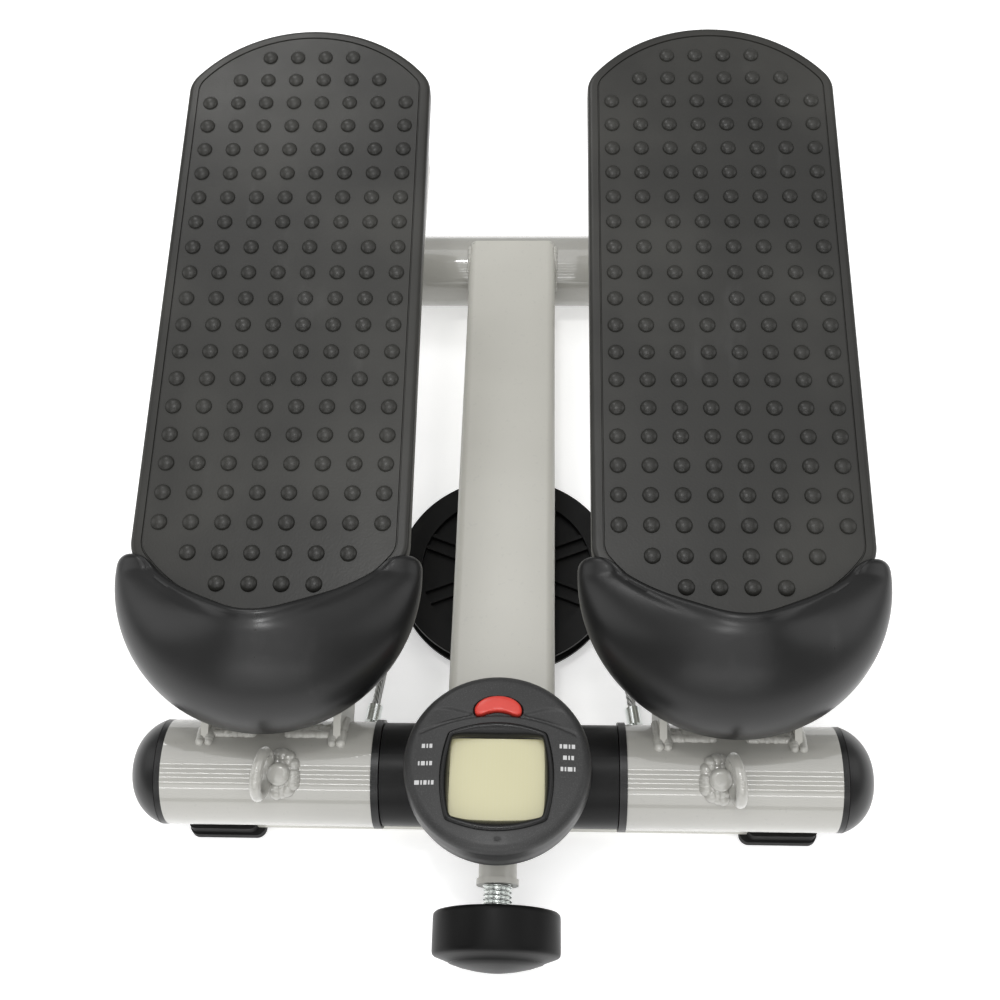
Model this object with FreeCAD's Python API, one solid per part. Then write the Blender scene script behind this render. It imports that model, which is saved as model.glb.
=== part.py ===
"""Mini stepper: two rocking pedals on a shared front axle, coupled by a steel rope round a pulley.

Shapes are drawn about the centre of the front axle: X to the right, Y back towards the pedal
heels, Z up, in millimetres.  export_all() then stands the stepper on the floor, with the origin
under the middle of its outline.  Paired pieces are drawn on the +X side and mirrored.
"""
import FreeCAD, Part
import math
import os

V = FreeCAD.Vector
ORIGIN = V(0, 0, 0)
X_AXIS, Y_AXIS, Z_AXIS = V(1, 0, 0), V(0, 1, 0), V(0, 0, 1)
RUN = 0.05           # radial clearance of a shaft in its bearing
GAP = 0.3            # clearance between pieces that move past each other

# ---------------------------------------------------------------- driving dimensions
axle_height = 31.0           # axle centre above the floor
sleeve_radius = 21.4
sleeve_bore = 18.5
sleeve_start, sleeve_end = 51.3, 136.5
flange_width = 3.0           # rim of each plastic bush
axle_radius = 12.5
centre_tube_radius, centre_tube_bore = 21.0, 18.0
centre_tube_half = 48.0

spine_width, spine_height, spine_wall = 45.0, 25.0, 2.0
spine_corner = 4.0
rear_bar_y, rear_bar_z = 293.0, -8.5
rear_bar_radius, rear_bar_wall = 19.0, 2.0
rear_bar_half = 140.0
rear_foot_radius = rear_bar_z + axle_height

pedal_x, pedal_y, pedal_z = 93.0, 179.4, 93.5    # middle of the tread's top face
pedal_slope = 12.0                               # degrees, heel high
tread_half_width, tread_reach = 56.5, 146.5
tread_end_radius, tread_shoulder = 68.0, 15.0
tread_thickness = 8.0
tray_thickness = 2.0
tray_inset = 3.0

pulley_y = 108.8
pulley_radius, pulley_top, pulley_bottom = 51.0, -15.0, -24.0
rope_radius = 2.0
rope_wrap_radius = 48.0
rope_z = -19.5
rope_eye_x, rope_eye_y = 59.2, 22.0
rope_lug_half, rope_lug_plate = 5.2, 3.0
rope_pin_radius = 2.5

screw_radius = 6.0
screw_tilt = 8.0            # degrees, the knob end is low
knob_middle = (-64.4, -1.71)  # Y and Z of a point on the screw's axis
knob_radius = 25.0

monitor_y, monitor_radius = -10.0, 36.4
monitor_floor, monitor_split, monitor_top = 22.6, 27.0, 41.0
screen_y = -16.5

cylinder_foot = (270.0, 18.0)    # Y and Z of the rear pivot
cylinder_head = (102.0, 32.0)    # Y and Z of the pivot under the pedal arm
cylinder_radius = 13.0

NODES = {}


# ---------------------------------------------------------------- drawing helpers
def cylinder(radius, start, direction, length):
    return Part.makeCylinder(radius, length, V(*start), direction)


def bar_x(radius, x0, x1, y=0.0, z=0.0):
    return cylinder(radius, (x0, y, z), X_AXIS, x1 - x0)


def bar_z(radius, x, y, z0, z1):
    return cylinder(radius, (x, y, z0), Z_AXIS, z1 - z0)


def tube_x(outer, inner, x0, x1, y=0.0, z=0.0):
    return bar_x(outer, x0, x1, y, z).cut(bar_x(inner, x0 - 1, x1 + 1, y, z))


def box(x0, x1, y0, y1, z0, z1):
    return Part.makeBox(x1 - x0, y1 - y0, z1 - z0, V(x0, y0, z0))


def fuse(first, *others):
    for other in others:
        first = first.fuse(other)
    return first.removeSplitter()


def cut(shape, *tools):
    for tool in tools:
        shape = shape.cut(tool)
    return shape


def side_prism(points, x0, x1):
    """A flat outline in the YZ plane, extruded from x0 to x1."""
    corners = [V(x0, y, z) for y, z in points]
    face = Part.Face(Part.makePolygon(corners + corners[:1]))
    return face.extrude(V(x1 - x0, 0, 0))


def revolve(profile, origin, axis, radial):
    """Turn (radius, height) points about an axis; arcs come as a (via, end) pair of points."""
    def place(point):
        return origin + radial * point[0] + axis * point[1]

    edges = []
    last = place(profile[0])
    for step in profile[1:]:
        if isinstance(step[0], tuple):
            via, end = place(step[0]), place(step[1])
            edges.append(Part.Arc(last, via, end).toBSpline().toShape())
        else:
            end = place(step)
            edges.append(Part.LineSegment(last, end).toShape())
        last = end
    edges.append(Part.LineSegment(last, place(profile[0])).toShape())
    face = Part.Face(Part.Wire(edges))
    solid = face.revolve(origin, axis, 360)
    return solid if solid.Volume > 0 else face.revolve(origin, axis * -1, 360)


def rounded(shape, radius, chosen):
    edges = [edge for edge in shape.Edges if chosen(edge)]
    return shape.makeFillet(radius, edges)


def along(edge, axis):
    """True for a straight edge that runs along the axis."""
    if not isinstance(edge.Curve, (Part.Line, Part.LineSegment)):
        return False
    return abs(abs(edge.tangentAt(edge.FirstParameter).dot(axis)) - 1) < 1e-6


def mirrored(shape):
    return shape.mirror(ORIGIN, X_AXIS)


def keep(name, *solids):
    NODES[name] = solids[0] if len(solids) == 1 else Part.makeCompound(list(solids))


def keep_pair(name, *solids):
    keep("right_" + name, *solids)
    keep("left_" + name, *[mirrored(solid) for solid in solids])


def on_pedal(shape):
    """Move a shape from the tread's own frame to the right pedal."""
    turn = FreeCAD.Rotation(X_AXIS, pedal_slope)
    placed = shape.copy()
    placed.Placement = FreeCAD.Placement(V(pedal_x, pedal_y, pedal_z), turn)
    return placed


def on_screw(shape):
    """Move a shape drawn along +Y from the knob's middle onto the sloping screw axis."""
    turn = FreeCAD.Rotation(X_AXIS, screw_tilt)
    placed = shape.copy()
    placed.Placement = FreeCAD.Placement(V(0, *knob_middle), turn)
    return placed


def pan_screw(x, y, z, head_radius, shank_radius, head, length):
    """A screw that points up, with the underside of its head at height z."""
    cap = bar_z(head_radius, x, y, z - head, z)
    cap = rounded(cap, head * 0.45, lambda e: abs(e.CenterOfMass.z - (z - head)) < 1e-6
                  and isinstance(e.Curve, Part.Circle))
    return fuse(cap, bar_z(shank_radius, x, y, z, z + length))


# ---------------------------------------------------------------- frame
def tread_outline(inset=0.0, height=0.0):
    """The pedal's plan: straight sides, broad end arcs and small shoulder arcs between them."""
    side, reach = tread_half_width - inset, tread_reach - inset
    broad, small = tread_end_radius - inset, tread_shoulder - inset
    centre = reach - broad
    fillet_u = side - small
    rise = math.sqrt((broad - small) ** 2 - fillet_u ** 2)
    fillet_v = centre + rise
    meet = broad / (broad - small)
    half = math.atan2(rise, fillet_u) / 2

    def point(u, v):
        return V(u, v, height)

    edges = []
    for sign in (1, -1):
        start = point(sign * side, sign * fillet_v)
        bend = point(sign * (fillet_u + small * math.cos(half)),
                     sign * (fillet_v + small * math.sin(half)))
        near = point(sign * fillet_u * meet, sign * (centre + rise * meet))
        far = point(-sign * fillet_u * meet, sign * (centre + rise * meet))
        bend_back = point(-sign * (fillet_u + small * math.cos(half)),
                          sign * (fillet_v + small * math.sin(half)))
        end = point(-sign * side, sign * fillet_v)
        edges += [Part.Arc(start, bend, near).toShape(),
                  Part.Arc(near, point(0, sign * reach), far).toShape(),
                  Part.Arc(far, bend_back, end).toShape(),
                  Part.LineSegment(end, point(-sign * side, -sign * fillet_v)).toShape()]
    return Part.Wire(edges)


def make_spine():
    half = spine_width / 2
    start, end = 12.0, rear_bar_y + 2.0
    outer = box(-half, half, start, end, -spine_height / 2, spine_height / 2)
    outer = rounded(outer, spine_corner, lambda e: along(e, Y_AXIS))
    inner = box(-half + spine_wall, half - spine_wall, start - 1, end + 1,
                -spine_height / 2 + spine_wall, spine_height / 2 - spine_wall)
    inner = rounded(inner, spine_corner - spine_wall, lambda e: along(e, Y_AXIS))
    slot_half, slot_radius = 10.0, 5.6
    slot = box(-slot_radius, slot_radius, pulley_y - slot_half, pulley_y + slot_half,
               -spine_height, 0)
    slot = fuse(slot, *[bar_z(slot_radius, 0, pulley_y + s * slot_half, -spine_height, 0)
                        for s in (-1, 1)])
    keep("spine_tube", cut(outer, inner, slot, bar_x(centre_tube_radius, -60, 60),
                           bar_x(rear_bar_radius, -60, 60, rear_bar_y, rear_bar_z)))


def make_rear():
    inner = rear_bar_radius - rear_bar_wall
    keep("rear_crossbar", tube_x(rear_bar_radius, inner, -rear_bar_half, rear_bar_half,
                                 rear_bar_y, rear_bar_z))
    grip, skin = 29.0, 3.5
    cap = bar_x(rear_foot_radius, rear_bar_half - grip, rear_bar_half + skin + 8.5,
                rear_bar_y, rear_bar_z)
    cap = rounded(cap, 5.0, lambda e: isinstance(e.Curve, Part.Circle)
                  and e.CenterOfMass.x > rear_bar_half)
    flat = 1.2
    floor = -axle_height + flat
    cap = cut(cap, bar_x(rear_bar_radius, rear_bar_half - grip - 1, rear_bar_half,
                         rear_bar_y, rear_bar_z))
    pad = box(rear_bar_half - grip + 4, rear_bar_half + 4, rear_bar_y - 14, rear_bar_y + 14,
              -axle_height, floor + 3)
    pad = rounded(pad, 3.0, lambda e: along(e, Z_AXIS))
    pad = pad.cut(bar_x(rear_bar_radius, 0, 200, rear_bar_y, rear_bar_z))
    foot = fuse(cap, pad)
    keep("rear_feet", foot, mirrored(foot))

    foot_y, foot_z = cylinder_foot
    lug_radius, lug_plate, lug_gap = 9.0, 4.0, 10.4
    plates = []
    for x in (pedal_x - lug_gap - lug_plate, pedal_x + lug_gap):
        plate = bar_x(lug_radius, x, x + lug_plate, foot_y, foot_z)
        neck = side_prism([(foot_y - 7.5, foot_z - 5), (foot_y + 4, foot_z + 8),
                           (rear_bar_y + 6, rear_bar_z + 12), (rear_bar_y - 12, rear_bar_z - 12)],
                          x, x + lug_plate)
        plate = cut(fuse(plate, neck), bar_x(rear_bar_radius, 0, 200, rear_bar_y, rear_bar_z),
                    bar_x(4.0, 0, 200, foot_y, foot_z))
        plates += [plate, mirrored(plate)]
    keep("cylinder_brackets", *plates)
    reach = lug_gap + lug_plate
    pin = fuse(bar_x(4.0, pedal_x - reach - 2.5, pedal_x + reach, foot_y, foot_z),
               bar_x(6.5, pedal_x + reach, pedal_x + reach + 3.5, foot_y, foot_z),
               bar_x(6.0, pedal_x - reach - 2.5, pedal_x - reach, foot_y, foot_z))
    keep("cylinder_foot_pins", pin, mirrored(pin))


def make_front():
    ring = tube_x(centre_tube_radius, centre_tube_bore, -centre_tube_half, centre_tube_half)
    screw_hole = on_screw(cylinder(screw_radius + 1.5, (0, 14.4, 0), Y_AXIS, 44))
    link_hole = box(-11.6, 11.6, 5, 40, -8, 9.5)
    keep("centre_tube", cut(ring, screw_hole, link_hole))

    inner_end, outer_end, collar = 14.0, sleeve_end + flange_width - 0.3, 8.0
    shaft = fuse(bar_x(axle_radius, inner_end, outer_end),
                 bar_x(centre_tube_bore, inner_end, inner_end + collar),
                 bar_x(centre_tube_bore, centre_tube_half - collar, centre_tube_half))
    bolt_radius, bolt_depth = 5.0, 24.0
    shaft = cut(shaft, bar_x(bolt_radius, outer_end - bolt_depth, outer_end + 1))
    keep_pair("axle", shaft)
    washer = bar_x(15.5, outer_end, outer_end + 2)
    head = fuse(bar_x(8.0, outer_end + 2, outer_end + 8),
                bar_x(bolt_radius, outer_end - bolt_depth + 3, outer_end + 2))
    bolt = cut(fuse(washer, head), bar_x(3.5, outer_end + 5, outer_end + 9))
    keep("axle_bolts", bolt, mirrored(bolt))

    bar_top, bar_bottom = -24.0, -27.5
    bar_front, bar_rear, bar_half = -14.0, 8.0, 131.0
    foot_bar = box(-bar_half, bar_half, bar_front, bar_rear, bar_bottom, bar_top)
    foot_bar = rounded(foot_bar, 5.0, lambda e: along(e, Z_AXIS))
    keep("front_foot_bar", foot_bar)
    saddle = box(-36, 36, bar_front + 2, bar_rear - 2, bar_top, -8)
    keep("foot_bar_saddle", saddle.cut(bar_x(centre_tube_radius, -60, 60)))

    skin, foot_start, foot_end = 1.5, 101.0, 133.5
    tread = box(foot_start, foot_end, bar_front - 3.5, bar_rear + 3.5, -axle_height, bar_bottom)
    tread = rounded(tread, 4.0, lambda e: along(e, Z_AXIS))
    wrap = box(foot_start + 3, foot_end - 0.5, bar_front - 2.5, bar_rear + 2.5,
               bar_bottom, bar_top + skin)
    wrap = rounded(wrap, 3.0, lambda e: along(e, Z_AXIS))
    foot = fuse(tread, wrap).cut(foot_bar)
    keep("front_feet", foot, mirrored(foot))


# ---------------------------------------------------------------- step-height adjuster
def make_adjuster():
    boss_radius, lip_radius, boss_end = 7.6, 8.4, 18.4
    boss = fuse(cylinder(boss_radius, (0, boss_end, 0), Y_AXIS, 32),
                cylinder(lip_radius, (0, boss_end, 0), Y_AXIS, 2.4))
    boss = cut(boss, cylinder(screw_radius + RUN, (0, 0, 0), Y_AXIS, 90))
    keep("adjuster_boss", cut(on_screw(boss), bar_x(centre_tube_radius, -60, 60)))

    tip, neck_radius, neck = 60.34, 4.0, 9.0
    screw = fuse(cylinder(screw_radius, (0, -2, 0), Y_AXIS, tip + 2),
                 cylinder(neck_radius, (0, tip, 0), Y_AXIS, neck))
    keep("adjuster_screw", on_screw(screw))
    circlip = cylinder(5.6, (0, tip + neck - 2.2, 0), Y_AXIS, 1.4)
    circlip = cut(circlip, cylinder(neck_radius, (0, tip, 0), Y_AXIS, neck))
    keep("screw_clip", on_screw(circlip))

    back, front, dome, edge = 8.2, -8.4, -14.2, 3.0
    hub = 11.0
    profile = [(0, -2.0), (screw_radius, -2.0), (screw_radius, back + 1.5), (hub, back + 1.5),
               (hub, back), (knob_radius - edge, back),
               ((knob_radius - edge * 0.29, back - edge * 0.29), (knob_radius, back - edge)),
               (knob_radius, front + 1.5),
               ((knob_radius - 6.0, -12.0), (0, dome))]
    keep("knob", on_screw(revolve(profile, ORIGIN, Y_AXIS, X_AXIS)))

    swivel = box(-7, 7, tip + GAP, tip + neck - 2.5, -9, 5.0)
    swivel = cut(swivel, cylinder(neck_radius + RUN, (0, tip, 0), Y_AXIS, neck),
                 cylinder(2.0, (-8, tip + 3.4, -6.6), X_AXIS, 16))
    pin = cylinder(2.0, (-11, tip + 3.4, -6.6), X_AXIS, 22)
    keep("screw_swivel", on_screw(swivel), on_screw(pin))

    block_half, block_length, block_height = 20.2, 34.0, 10.2
    block = box(-block_half, block_half, pulley_y - block_length / 2,
                pulley_y + block_length / 2, -block_height, block_height)
    block = rounded(block, 3.0, lambda e: along(e, Y_AXIS))
    stud_radius, stud_head = 5.0, 9.0
    stud = fuse(bar_z(stud_radius, 0, pulley_y, pulley_bottom - 5.5, 6.0),
                bar_z(stud_head, 0, pulley_y, 3.0, 6.0))
    pocket = bar_z(stud_head, 0, pulley_y, 3.0, block_height + 1)
    link_z0, link_z1 = -1.6, 1.6
    link_slot = box(-5.1, 5.1, pulley_y - block_length, pulley_y - 10, link_z0, link_z1)
    block = cut(block, pocket, bar_z(stud_radius, 0, pulley_y, -20, 20), link_slot)
    keep("tension_block", block)
    nut = bar_z(8.0, 0, pulley_y, pulley_bottom - 4.8, pulley_bottom - 0.4)
    hexagon = Part.Face(Part.makePolygon(
        [V(8.0 * math.cos(math.radians(60 * k)), pulley_y + 8.0 * math.sin(math.radians(60 * k)),
           pulley_bottom - 4.8) for k in range(7)])).extrude(V(0, 0, 4.4))
    nut = cut(hexagon.common(nut), bar_z(stud_radius, 0, pulley_y, -40, 0))
    keep("pulley_bolt", stud, nut)

    pin = on_screw(Part.Vertex(0, tip + 3.4, -6.6)).Point
    strap_start = pin.y + 5
    strap = box(-4.9, 4.9, strap_start, pulley_y - 10.2, link_z0, link_z1)
    arms = []
    for x in (-10.6, 7.6):
        arm = side_prism([(strap_start + 8, -4), (strap_start + 8, 4), (pin.y, pin.z + 5.5),
                          (pin.y, pin.z - 5.5)], x, x + 3.0)
        arms.append(fuse(arm, bar_x(5.5, x, x + 3.0, pin.y, pin.z)))
    bridge = box(-10.6, 10.6, strap_start + 4, strap_start + 8, -4, 4)
    link = fuse(strap, bridge, *arms)
    keep("pull_link", cut(link, bar_x(3.4, -20, 20, pin.y, pin.z)))


# ---------------------------------------------------------------- rope drive
def make_pulley():
    groove, hub, web = rope_wrap_radius - rope_radius, 14.0, 3.0
    middle = (pulley_top + pulley_bottom) / 2
    bush_radius = 8.0
    rim = 40.0
    profile = [(bush_radius, pulley_bottom + 0.6), (hub, pulley_bottom + 0.6), (hub, middle - web),
               (rim, middle - web), (rim, pulley_bottom), (pulley_radius, pulley_bottom),
               (pulley_radius, pulley_bottom + 1.4),
               (groove, rope_z - rope_radius), (groove, rope_z + rope_radius),
               (pulley_radius, pulley_top - 1.4), (pulley_radius, pulley_top),
               (rim, pulley_top), (rim, middle + web - 1.5), (hub, middle + web - 1.5),
               (hub, pulley_top - 0.4), (bush_radius, pulley_top - 0.4)]
    wheel = revolve(profile, V(0, pulley_y, 0), Z_AXIS, X_AXIS)
    rib_count, rib_pitch, rib_half = 8, 3.4, 0.9
    ribs = []
    for k in range(rib_count):
        for offset in (-rib_pitch, rib_pitch):
            rib = box(hub - 1, rim + 0.5, offset - rib_half, offset + rib_half,
                      middle, pulley_top - 0.8)
            rib.rotate(ORIGIN, Z_AXIS, 360.0 / rib_count * (k + 0.5))
            rib.translate(V(0, pulley_y, 0))
            ribs.append(rib)
    keep("rope_pulley", fuse(wheel, *ribs))
    bush = bar_z(bush_radius, 0, pulley_y, pulley_bottom, pulley_top)
    keep("pulley_bush", cut(bush, bar_z(5.0 + RUN, 0, pulley_y, -40, 0)))


def make_rope():
    """The rope runs from one lug round the back of the pulley to the other."""
    dx, dy = rope_eye_x, pulley_y - rope_eye_y
    spread = math.atan2(dx, dy)
    swing = math.asin(rope_wrap_radius / math.hypot(dx, dy))
    lean = spread - swing
    tangent = V(rope_wrap_radius * math.cos(lean), pulley_y + rope_wrap_radius * math.sin(lean),
                rope_z)
    eye = V(rope_eye_x, rope_eye_y, rope_z)
    direction = tangent - eye
    direction.normalize()
    start = eye + direction * 12.5
    left_start, left_tangent = V(-start.x, start.y, rope_z), V(-tangent.x, tangent.y, rope_z)
    path = Part.Wire([Part.LineSegment(start, tangent).toShape(),
                      Part.Arc(tangent, V(0, pulley_y + rope_wrap_radius, rope_z),
                               left_tangent).toShape(),
                      Part.LineSegment(left_tangent, left_start).toShape()])
    ring = Part.Wire([Part.Circle(start, direction, rope_radius).toShape()])
    rope = path.makePipeShell([ring], True, True)
    keep("steel_rope", rope)
    print("rope length", round(path.Length, 1), "mm, volume against section x length",
          round(rope.Volume / (math.pi * rope_radius ** 2 * path.Length), 4))

    eye_half, shank_radius = 1.8, 1.3
    eyelet = bar_x(5.0, rope_eye_x - eye_half, rope_eye_x + eye_half, rope_eye_y, rope_z)
    shank = Part.makeCylinder(shank_radius, 9.0, eye + direction * 3.0, direction)
    ferrule = Part.makeCylinder(3.4, 8.0, eye + direction * 9.5, direction)
    socket = Part.makeCylinder(rope_radius + 0.5, 20.0, eye + direction * 12.0, direction)
    ferrule = cut(fuse(eyelet, shank, ferrule), socket,
                  bar_x(rope_pin_radius, 0, 100, rope_eye_y, rope_z))
    keep_pair("rope_end", ferrule)


# ---------------------------------------------------------------- pedals
def guard_section(angle, inset=0.0, deeper=0.0):
    """One upright slice of the toe guard, at an angle round the middle of its outer circle."""
    turn = math.radians(angle)
    middle_v, outer = -125.0, 62.0
    offset = -middle_v - (tread_reach - tread_end_radius)
    near = math.cos(turn)
    inner = (-offset * near + math.sqrt((offset * near) ** 2
             + (tread_end_radius + 0.3) ** 2 - offset ** 2))
    level = max(near, 0.0)
    tip = max(0.0, (abs(angle) - 84.0) / 12.0)
    inner, outer = inner + 2.5 * tip + inset, outer - 3.5 * tip - inset
    top = 3.0 + 21.0 * level ** 0.8 - 3.5 * tip - inset
    belly = -5.0 - 8.0 * level
    bottom = -10.0 - 17.0 * level + 2.0 * tip - deeper
    width = outer - inner

    def place(radius, height):
        return V(radius * math.sin(turn), middle_v - radius * math.cos(turn), height)

    upper = [place(inner + width * math.sin(math.radians(s)),
                   belly + (top - belly) * math.cos(math.radians(s))) for s in (0, 22, 45, 68, 90)]
    lower = [place(outer - 0.6 * width * (1 - math.cos(math.radians(s))),
                   belly - (belly - bottom) * math.sin(math.radians(s))) for s in (30, 60, 90)]
    curve = Part.BSplineCurve()
    curve.interpolate(upper + lower)
    heel = place(inner, bottom)
    return Part.Wire([curve.toShape(), Part.LineSegment(lower[-1], heel).toShape(),
                      Part.LineSegment(heel, upper[0]).toShape()])


def make_toe_guard():
    shell = Part.makeLoft([guard_section(a) for a in (-96, -84, -66, -44, -22, 0,
                                                      22, 44, 66, 84, 96)], True, False)
    hollow = Part.makeLoft([guard_section(a, 3.0, 8.0) for a in (-76, -60, -40, -20, 0,
                                                               20, 40, 60, 76)], True, False)
    tongue = box(-24, 24, -150, -116, -13.3, -10.2)
    return cut(fuse(cut(shell, hollow), tongue), bar_z(2.6, 15, -130, -20, 0),
               bar_z(2.6, -15, -130, -20, 0))


def make_pedal():
    low = -tread_thickness
    tread = Part.Face(tread_outline(0.0, low)).extrude(V(0, 0, tread_thickness))
    tread = rounded(tread, 2.0, lambda e: abs(e.BoundBox.ZMin) < 1e-6)
    screw_places = [(u, v) for u in (-40, 40) for v in (-85, 0, 85)]
    guard_places = [(u, -130) for u in (-15, 15)]
    shank, grip = 2.5, 5.0
    holes = [bar_z(shank, u, v, low - 1, low + grip) for u, v in screw_places + guard_places]
    keep_pair("tread", on_pedal(cut(tread, *holes)))

    sheet_low = low - tray_thickness
    sheet = Part.Face(tread_outline(tray_inset, sheet_low)).extrude(V(0, 0, tray_thickness))
    wall_out = tread_half_width - tray_inset
    flank = [(106.0, sheet_low), (99.0, -44.0), (-92.0, -14.0), (-98.0, sheet_low)]
    flanks = [side_prism(flank, u, u + tray_thickness)
              for u in (-wall_out, wall_out - tray_thickness)]
    through = [bar_z(shank + 0.1, u, v, -20, 0) for u, v in screw_places + guard_places]
    keep_pair("tray", on_pedal(cut(fuse(sheet, *flanks), *through)))

    screws = [pan_screw(u, v, sheet_low, 4.6, shank, 2.8, tray_thickness + grip)
              for u, v in screw_places]
    screws += [pan_screw(u, v, -13.3, 4.6, shank, 2.8, 3.3 + tray_thickness + grip)
               for u, v in guard_places]
    keep_pair("tread_screws", *[on_pedal(screw) for screw in screws])
    keep_pair("toe_guard", on_pedal(make_toe_guard()))

    web, half = 3.0, 28.5
    head_y, head_z = cylinder_head
    below = on_pedal(box(-half - 1, half + 1, -260, 160, -200, sheet_low))
    plate = side_prism([(4, 20.6), (26, 31.5), (49.5, 36.5), (54, 70), (268, 112), (268, 88),
                        (146, 30), (100, 10), (21, -12)], pedal_x - half, pedal_x + half)
    arm = plate.common(below)
    inside = on_pedal(box(-half + web, half - web, -260, 160, -200, sheet_low - web))
    mouth = on_pedal(box(-half + web, half - web, -260, -113, -200, 0))
    arm = cut(arm, inside, mouth, bar_x(sleeve_radius, 0, 200),
              bar_x(4.0, 0, 200, head_y, head_z))
    keep_pair("pedal_arm", *arm.Solids)
    reach = half + 2.5
    pin = fuse(bar_x(4.0, pedal_x - reach, pedal_x + half, head_y, head_z),
               bar_x(6.5, pedal_x + half, pedal_x + half + 3.5, head_y, head_z),
               bar_x(6.0, pedal_x - reach, pedal_x - half, head_y, head_z))
    eye_pin = fuse(bar_x(rope_pin_radius - RUN, rope_eye_x - rope_lug_half - 1.2,
                         rope_eye_x + rope_lug_half, rope_eye_y, rope_z),
                   bar_x(4.0, rope_eye_x - rope_lug_half - 2.6, rope_eye_x - rope_lug_half,
                         rope_eye_y, rope_z))
    keep_pair("pedal_pins", pin, eye_pin)


def make_sleeve():
    keep_pair("sleeve", tube_x(sleeve_radius, sleeve_bore, sleeve_start, sleeve_end))
    flange, depth = 22.2, 18.0
    inner = fuse(bar_x(flange, sleeve_start - flange_width, sleeve_start),
                 bar_x(sleeve_bore, sleeve_start, sleeve_start + depth))
    outer = fuse(bar_x(sleeve_radius, sleeve_end, sleeve_end + 2.4),
                 bar_x(sleeve_bore, sleeve_end - depth, sleeve_end))
    bore = bar_x(axle_radius + RUN, 0, 200)
    keep_pair("axle_bushes", inner.cut(bore), outer.cut(bore))

    start = sleeve_end + 2.6
    rise, wall = 12.8, 2.4

    def dome(radius, height):
        bend = math.radians(45)
        return [(0, start), (radius, start),
                ((radius * math.cos(bend), start + height * math.sin(bend)), (0, start + height))]

    cap = revolve(dome(sleeve_radius, rise), ORIGIN, X_AXIS, Y_AXIS)
    hollow = revolve(dome(sleeve_radius - wall, rise - wall), ORIGIN, X_AXIS, Y_AXIS)
    spigot = tube_x(sleeve_radius - wall, 16.6, start - 0.2, start + 2.0)
    keep_pair("end_cap", fuse(cap.cut(hollow), spigot))

    ring_radius, wire_radius, lean = 8.6, 2.3, 23.0
    stand = sleeve_radius + ring_radius + 0.4
    centre = V(pedal_x, -stand * math.sin(math.radians(lean)), stand * math.cos(math.radians(lean)))
    ring = Part.makeTorus(ring_radius, wire_radius, centre, X_AXIS)
    ring.rotate(centre, Z_AXIS, 8.0)
    root = bar_z(4.6, pedal_x - 5.2, 0, sleeve_radius - 3, sleeve_radius + 5.0)
    root = rounded(root, 2.2, lambda e: isinstance(e.Curve, Part.Circle)
                   and e.CenterOfMass.z > sleeve_radius)
    root.rotate(ORIGIN, X_AXIS, lean)
    eyelet = cut(fuse(ring, root), bar_x(sleeve_radius, 0, 200))
    keep_pair("band_eyelet", eyelet)

    plates = []
    for x in (rope_eye_x - rope_lug_half, rope_eye_x + rope_lug_half - rope_lug_plate):
        disc = bar_x(6.5, x, x + rope_lug_plate, rope_eye_y, rope_z)
        neck = side_prism([(14, -15), (15.8, -22), (20, -25.6), (27, -24), (28.4, -18), (19, -2)],
                          x, x + rope_lug_plate)
        plates.append(cut(fuse(disc, neck), bar_x(sleeve_radius, 0, 200),
                          bar_x(rope_pin_radius, 0, 200, rope_eye_y, rope_z)))
    keep_pair("rope_lug", *plates)


# ---------------------------------------------------------------- resistance cylinders
def make_cylinder():
    foot = V(pedal_x, *cylinder_foot)
    head = V(pedal_x, *cylinder_head)
    way = head - foot
    length = way.Length
    way.normalize()

    def rod(radius, start, end):
        return Part.makeCylinder(radius, end - start, foot + way * start, way)

    eye_width = 10.0
    body_start, body_end = 14.0, 104.0
    eye = fuse(bar_x(8.5, pedal_x - eye_width, pedal_x + eye_width, *cylinder_foot),
               rod(6.0, 4.0, body_start))
    shell = fuse(eye, rod(cylinder_radius, body_start, body_end))
    bore = cylinder_radius - 2.0
    shell = cut(shell, rod(bore, body_start + 4, body_end + 1),
                bar_x(4.0 + RUN, 0, 200, *cylinder_foot))
    gland = rod(bore, body_end - 12, body_end).cut(rod(5.0 + RUN, 0, length))
    keep_pair("cylinder_tube", shell, gland)
    piston = rod(bore - RUN, 52.0, 62.0)
    eye_radius, slack = 10.4, 3.3
    stem = rod(5.0, 56.0, length - eye_radius + 2)
    end = bar_x(eye_radius, pedal_x - eye_width, pedal_x + eye_width, *cylinder_head)
    plunger = cut(fuse(piston, stem, end), bar_x(4.0 + slack, 0, 200, *cylinder_head))
    keep_pair("cylinder_rod", plunger)


# ---------------------------------------------------------------- monitor
def arc_outline(corners, mids, height):
    """A closed wire of arcs through each corner pair and the point between them."""
    edges = []
    for index, corner in enumerate(corners):
        end = corners[(index + 1) % len(corners)]
        edges.append(Part.Arc(V(*corner, height), V(*mids[index], height),
                              V(*end, height)).toShape())
    return Part.Wire(edges)


def barrel(half_x, half_y, swell_x, swell_y, corner, z0, z1):
    """The screen surround: a rectangle with bowed sides, centred on the screen."""
    centre_y = screen_y
    corners = [(half_x, centre_y - half_y), (half_x, centre_y + half_y),
               (-half_x, centre_y + half_y), (-half_x, centre_y - half_y)]
    mids = [(half_x + swell_x, centre_y), (0, centre_y + half_y + swell_y),
            (-half_x - swell_x, centre_y), (0, centre_y - half_y - swell_y)]
    solid = Part.Face(arc_outline(corners, mids, z0)).extrude(V(0, 0, z1 - z0))
    return rounded(solid, corner, lambda e: along(e, Z_AXIS))


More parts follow.
